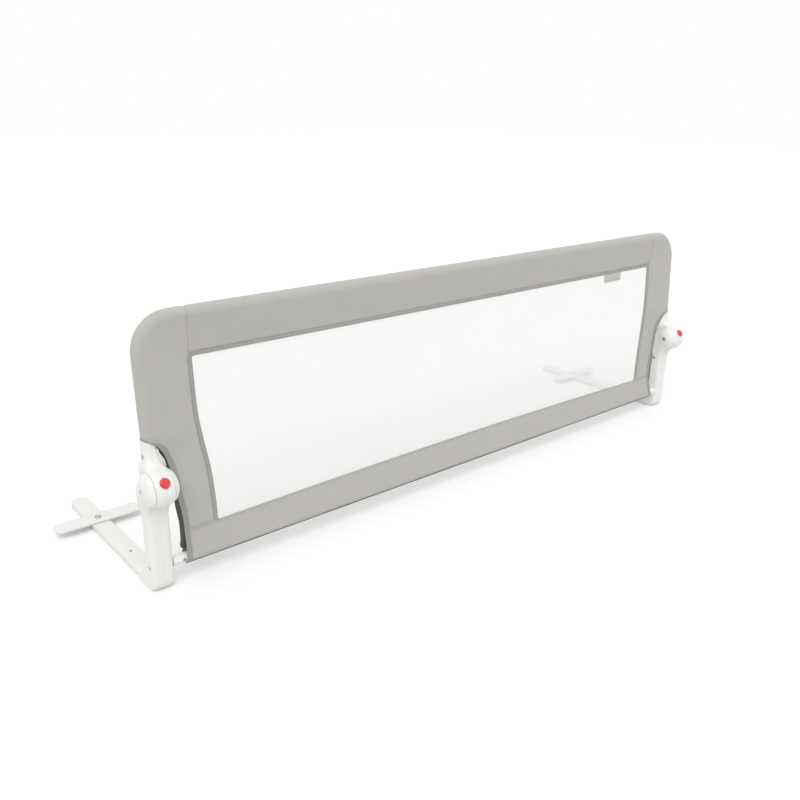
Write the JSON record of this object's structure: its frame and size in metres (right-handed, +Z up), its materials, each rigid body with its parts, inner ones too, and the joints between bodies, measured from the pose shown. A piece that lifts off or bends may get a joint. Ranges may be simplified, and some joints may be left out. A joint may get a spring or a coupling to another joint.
{
  "type": "folding bed guard rail",
  "caption": "Folding guard rail for a bed: a fabric-covered tube frame with a mesh window on two hinged legs, whose arms lie under the mattress.",
  "frame": {"origin": "on the floor plane that the feet and arms rest on, under the middle of the whole rail", "axes": "+X along the rail, +Y from the guard towards the mattress, +Z up"},
  "size_m": [1.674, 0.4664, 0.492],
  "materials": {
    "white_plastic": "satin moulded white",
    "white_metal": "white powder coat",
    "bright_steel": "zinc plated",
    "red_button": "gloss moulded red",
    "grey_fabric": "woven polyester, warm grey",
    "binding_tape": "folded tape, darker grey",
    "closure_tape": "hook-and-loop tape, dark grey",
    "white_mesh": "fine see-through mesh",
    "label_tape": "plain woven label",
    "pad_rubber": "matt non-slip rubber"
  },
  "bodies": {
    "base": {"left_leg_outer_shell": "white_plastic", "left_leg_inner_shell": "white_plastic", "left_lower_tube_plug": "white_plastic", "left_base_arm": "white_metal", "left_leg_screw": "bright_steel", "left_lower_tube_screw": "bright_steel", "left_plug_screw": "bright_steel", "left_pivot_bolt": "bright_steel", "left_pivot_nut": "bright_steel", "left_arm_screw": "bright_steel", "left_cross_bar_rivet": "bright_steel", "left_side_band_lower": "grey_fabric", "left_closure_strip_lower": "closure_tape", "left_arm_pad": "pad_rubber", "right_leg_outer_shell": "white_plastic", "right_leg_inner_shell": "white_plastic", "right_lower_tube_plug": "white_plastic", "right_base_arm": "white_metal", "right_leg_screw": "bright_steel", "right_lower_tube_screw": "bright_steel", "right_plug_screw": "bright_steel", "right_pivot_bolt": "bright_steel", "right_pivot_nut": "bright_steel", "right_arm_screw": "bright_steel", "right_cross_bar_rivet": "bright_steel", "right_side_band_lower": "grey_fabric", "right_closure_strip_lower": "closure_tape", "right_arm_pad": "pad_rubber", "lower_tube_left": "white_metal", "lower_tube_right": "white_metal", "lower_tube_joint": "bright_steel", "bottom_band": "grey_fabric", "window_binding_lower": "binding_tape", "mesh_window_lower": "white_mesh"},
    "guard": {"left_knuckle_outer_shell": "white_plastic", "left_knuckle_inner_shell": "white_plastic", "left_side_tube": "white_metal", "left_neck_screw": "bright_steel", "left_button_spring": "bright_steel", "left_side_band_upper": "grey_fabric", "left_closure_strip_upper": "closure_tape", "right_knuckle_outer_shell": "white_plastic", "right_knuckle_inner_shell": "white_plastic", "right_side_tube": "white_metal", "right_neck_screw": "bright_steel", "right_button_spring": "bright_steel", "right_side_band_upper": "grey_fabric", "right_closure_strip_upper": "closure_tape", "top_tube": "white_metal", "top_band": "grey_fabric", "window_binding_upper": "binding_tape", "mesh_window_upper": "white_mesh", "label_tab": "label_tape"},
    "left_button": {"left_lock_bar": "bright_steel", "left_release_button": "red_button"},
    "right_button": {"right_lock_bar": "bright_steel", "right_release_button": "red_button"},
    "left_cross_bar": {"left_cross_bar": "white_metal"},
    "right_cross_bar": {"right_cross_bar": "white_metal"}
  },
  "joints": [
    {"name": "guard_fold", "type": "hinge", "parent": "base", "child": "guard", "pos_m": [0, -0.19882, 0.205], "axis": [1, 0, 0], "range_deg": [0, 175]},
    {"name": "left_button_press", "type": "slide", "parent": "guard", "child": "left_button", "axis": [0, 0.829, -0.5592], "range_m": [0, 0.004], "stiffness_N_per_m": 600, "springref_m": -0.004, "deforming": ["left_button_spring"]},
    {"name": "left_cross_bar_swivel", "type": "hinge", "parent": "base", "child": "left_cross_bar", "pos_m": [-0.751, 0.11518, 0.0145], "axis": [0, 0, 1], "range_deg": [-90, 90]},
    {"name": "right_button_press", "type": "slide", "parent": "guard", "child": "right_button", "axis": [0, 0.829, -0.5592], "range_m": [0, 0.004], "stiffness_N_per_m": 600, "springref_m": -0.004, "deforming": ["right_button_spring"]},
    {"name": "right_cross_bar_swivel", "type": "hinge", "parent": "base", "child": "right_cross_bar", "pos_m": [0.751, 0.11518, 0.0145], "axis": [0, 0, 1], "range_deg": [-90, 90]}
  ]
}
